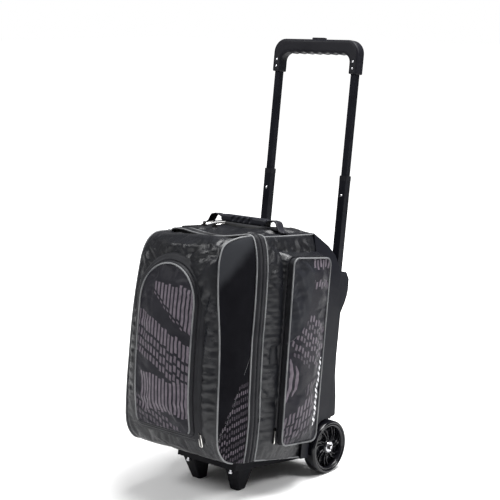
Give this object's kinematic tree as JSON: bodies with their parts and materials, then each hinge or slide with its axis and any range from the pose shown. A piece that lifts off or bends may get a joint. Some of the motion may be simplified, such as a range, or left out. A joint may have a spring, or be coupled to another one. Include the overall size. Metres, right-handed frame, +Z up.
{
  "type": "rolling bowling bag",
  "caption": "Leaning two-wheeled rolling bag for bowling balls, with a telescopic pull handle, clamshell front, arched front pocket, side pockets, carry handle and front feet.",
  "frame": {"origin": "bottom centre of the whole bag as it stands on its wheels and front feet", "axes": "+Z up, +X to the right of the bag seen from its front pocket, +Y from the front pocket to the pull handle"},
  "size_m": [0.35, 0.5714, 1.0216],
  "materials": {
    "tyre_rubber": "glossy black polyurethane tread",
    "hub_plastic": "black moulded plastic hub with curved spokes",
    "steel": "zinc-plated steel",
    "moulded_plastic": "black moulded plastic, fine grain",
    "black_tube": "black anodised aluminium, satin",
    "grip_plastic": "black moulded plastic, satin",
    "zip_metal": "black-plated zip slider and tab",
    "zip_tape": "woven polyester zip tape with coil teeth",
    "foam": "dark lining over foam",
    "webbing": "black nylon webbing",
    "printed_fabric": "charcoal fabric with rows of printed dashes, silver piping",
    "matte_fabric": "flat black fabric",
    "bag_fabric": "black satin nylon, padded"
  },
  "bodies": {
    "chassis": {"axle": "steel", "axle_nuts": "steel", "back_plate": "moulded_plastic", "ball_ring_lower": "foam", "ball_ring_upper": "foam", "base_board": "foam", "base_tray": "moulded_plastic", "foot_screws": "steel", "front_foot_left": "moulded_plastic", "front_foot_right": "moulded_plastic", "lower_crossbar": "moulded_plastic", "main_zip_rear": "zip_tape", "outer_tube_left": "black_tube", "outer_tube_right": "black_tube", "plate_rivets": "steel", "rear_back_pad": "foam", "rear_floor": "bag_fabric", "rear_side_left": "bag_fabric", "rear_side_right": "bag_fabric", "rear_top": "bag_fabric", "side_pocket_box_left": "bag_fabric", "side_pocket_box_right": "bag_fabric", "tube_cover_left": "moulded_plastic", "tube_cover_right": "moulded_plastic"},
    "wheel_left": {"wheel_tyre_left": "tyre_rubber", "wheel_hub_left": "hub_plastic", "wheel_bearings_left": "steel"},
    "wheel_right": {"wheel_tyre_right": "tyre_rubber", "wheel_hub_right": "hub_plastic", "wheel_bearings_right": "steel"},
    "middle_stage": {"middle_tubes": "black_tube", "middle_collars": "grip_plastic"},
    "upper_stage": {"upper_tubes": "black_tube", "grip": "grip_plastic", "button_spring": "steel"},
    "release": {"release_button": "grip_plastic", "release_linkage": "grip_plastic"},
    "front_shell": {"front_side_left": "matte_fabric", "front_side_right": "matte_fabric", "front_top": "bag_fabric", "front_bottom": "bag_fabric", "front_wall": "bag_fabric", "shoe_divider": "foam", "main_zip_front": "zip_tape", "front_pocket_gusset": "bag_fabric"},
    "front_flap": {"front_pocket_flap": "printed_fabric"},
    "front_slider": {"front_zip_slider": "zip_metal"},
    "front_tab": {"front_zip_tab": "zip_metal"},
    "carry_handle": {"carry_grip": "webbing", "carry_straps": "webbing"},
    "side_cover_left": {"side_pocket_cover_left": "printed_fabric"},
    "side_slider_left": {"side_zip_slider_left": "zip_metal"},
    "side_tab_left": {"side_zip_tab_left": "zip_metal"},
    "main_slider_left": {"main_zip_slider_left": "zip_metal"},
    "main_tab_left": {"main_zip_tab_left": "zip_metal"},
    "side_cover_right": {"side_pocket_cover_right": "printed_fabric"},
    "side_slider_right": {"side_zip_slider_right": "zip_metal"},
    "side_tab_right": {"side_zip_tab_right": "zip_metal"},
    "main_slider_right": {"main_zip_slider_right": "zip_metal"},
    "main_tab_right": {"main_zip_tab_right": "zip_metal"}
  },
  "joints": [
    {"name": "wheel_left_spin", "type": "hinge", "parent": "chassis", "child": "wheel_left", "pos_m": [0, 0.11853, 0.0635], "axis": [1, 0, 0], "continuous": true},
    {"name": "wheel_right_spin", "type": "hinge", "parent": "chassis", "child": "wheel_right", "pos_m": [0, 0.11853, 0.0635], "axis": [1, 0, 0], "continuous": true},
    {"name": "handle_lower_slide", "type": "slide", "parent": "chassis", "child": "middle_stage", "axis": [0, 0.1392, 0.9903], "range_m": [-0.21, 0]},
    {"name": "handle_upper_slide", "type": "slide", "parent": "middle_stage", "child": "upper_stage", "axis": [0, 0.1392, 0.9903], "range_m": [-0.236, 0]},
    {"name": "release_press", "type": "slide", "parent": "upper_stage", "child": "release", "axis": [0, -0.1392, -0.9903], "range_m": [0, 0.004], "stiffness_N_per_m": 1200, "springref_m": -0.001, "deforming": ["button_spring"]},
    {"name": "front_shell_open", "type": "hinge", "parent": "chassis", "child": "front_shell", "pos_m": [0, -0.17134, 0.10626], "axis": [1, 0, 0], "range_deg": [0, 82]},
    {"name": "front_flap_open", "type": "hinge", "parent": "front_shell", "child": "front_flap", "pos_m": [0, -0.26203, 0.16949], "axis": [1, 0, 0], "range_deg": [0, 95]},
    {"name": "side_cover_left_open", "type": "hinge", "parent": "chassis", "child": "side_cover_left", "pos_m": [-0.175, 0.0415, 0.10462], "axis": [0, -0.1252, -0.9921], "range_deg": [0, 95]},
    {"name": "side_slider_left_run", "type": "slide", "parent": "chassis", "child": "side_slider_left", "axis": [0, 0.102, 0.9948], "range_m": [0, 0.33]},
    {"name": "side_tab_left_swing", "type": "hinge", "parent": "side_slider_left", "child": "side_tab_left", "pos_m": [-0.155, -0.08557, 0.15661], "axis": [-1, 0, 0], "range_deg": [0, 150]},
    {"name": "side_cover_right_open", "type": "hinge", "parent": "chassis", "child": "side_cover_right", "pos_m": [0.175, 0.0415, 0.10462], "axis": [0, 0.1252, 0.9921], "range_deg": [0, 95]},
    {"name": "side_slider_right_run", "type": "slide", "parent": "chassis", "child": "side_slider_right", "axis": [0, 0.102, 0.9948], "range_m": [0, 0.33]},
    {"name": "side_tab_right_swing", "type": "hinge", "parent": "side_slider_right", "child": "side_tab_right", "pos_m": [0.155, -0.08557, 0.15661], "axis": [-1, 0, 0], "range_deg": [0, 150]},
    {"name": "main_slider_left_run", "type": "slide", "parent": "chassis", "child": "main_slider_left", "axis": [1, 0, 0], "range_m": [-0.05, 0.012]},
    {"name": "main_tab_left_swing", "type": "hinge", "parent": "main_slider_left", "child": "main_tab_left", "pos_m": [-0.04, -0.10053, 0.61011], "axis": [1, 0, 0], "range_deg": [0, 95]},
    {"name": "main_slider_right_run", "type": "slide", "parent": "chassis", "child": "main_slider_right", "axis": [1, 0, 0], "range_m": [-0.008, 0.075]},
    {"name": "main_tab_right_swing", "type": "hinge", "parent": "main_slider_right", "child": "main_tab_right", "pos_m": [-0.008, -0.10053, 0.61011], "axis": [1, 0, 0], "range_deg": [0, 95]},
    {"name": "front_slider_run", "type": "slide", "parent": "front_shell", "child": "front_slider", "axis": [0, -0.1958, 0.9806], "range_m": [0, 0.03]},
    {"name": "front_tab_swing", "type": "hinge", "parent": "front_slider", "child": "front_tab", "pos_m": [0.097, -0.27006, 0.18218], "axis": [-1, 0, 0], "range_deg": [0, 150]},
    {"name": "carry_handle_rock", "type": "hinge", "parent": "chassis", "child": "carry_handle", "pos_m": [0, -0.00367, 0.59519], "axis": [1, 0, 0], "range_deg": [-10, 10]}
  ]
}
